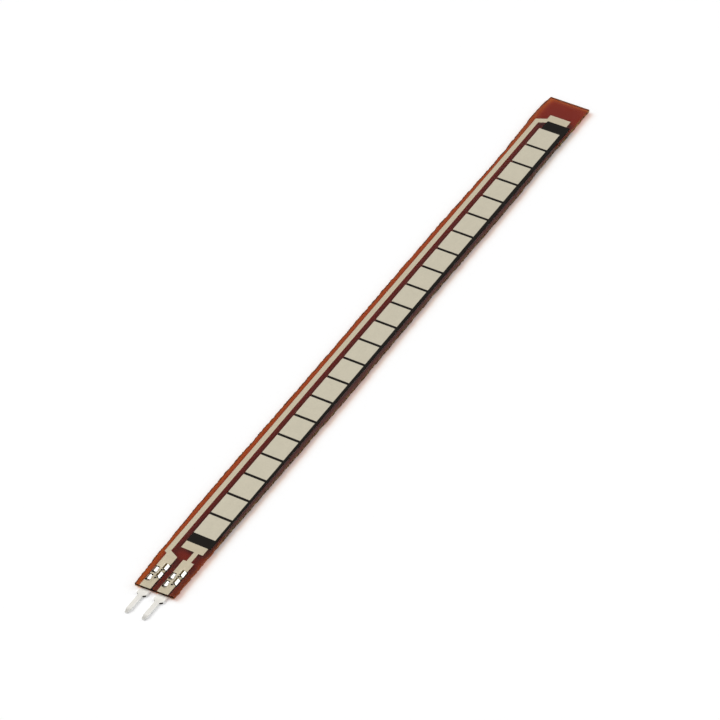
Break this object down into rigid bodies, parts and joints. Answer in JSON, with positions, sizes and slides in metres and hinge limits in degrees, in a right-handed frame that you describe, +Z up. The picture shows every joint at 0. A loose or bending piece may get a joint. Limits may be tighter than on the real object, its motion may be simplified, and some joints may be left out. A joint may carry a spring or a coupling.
{
  "type": "flex sensor",
  "caption": "Thin flexible film strip with a printed resistor and crimped flat pins at one end, whose resistance rises as it bends.",
  "frame": {"origin": "under the middle of the part, on the plane of the contacts' undersides", "axes": "+X along the strip from the pins to the plain far end, +Y across it towards the return trace, +Z up from the film to the print"},
  "size_m": [0.1116, 0.0066, 0.001],
  "materials": {
    "amber_film": "translucent amber film, satin",
    "resistive_ink": "matt black printed ink",
    "silver_ink": "matt silver ink",
    "contact_metal": "bright tin plate"
  },
  "bodies": {
    "root": {"base_film": "amber_film", "resistive_strip": "resistive_ink", "return_trace": "silver_ink", "near_terminal": "silver_ink", "contact_left": "contact_metal", "contact_right": "contact_metal", "segment_01": "silver_ink", "segment_02": "silver_ink", "segment_03": "silver_ink", "segment_04": "silver_ink", "segment_05": "silver_ink", "segment_06": "silver_ink", "segment_07": "silver_ink", "segment_08": "silver_ink", "segment_09": "silver_ink", "segment_10": "silver_ink", "segment_11": "silver_ink", "segment_12": "silver_ink", "segment_13": "silver_ink", "segment_14": "silver_ink", "segment_15": "silver_ink", "segment_16": "silver_ink", "segment_17": "silver_ink", "segment_18": "silver_ink", "segment_19": "silver_ink", "segment_20": "silver_ink", "segment_21": "silver_ink", "segment_22": "silver_ink"}
  },
  "joints": []
}
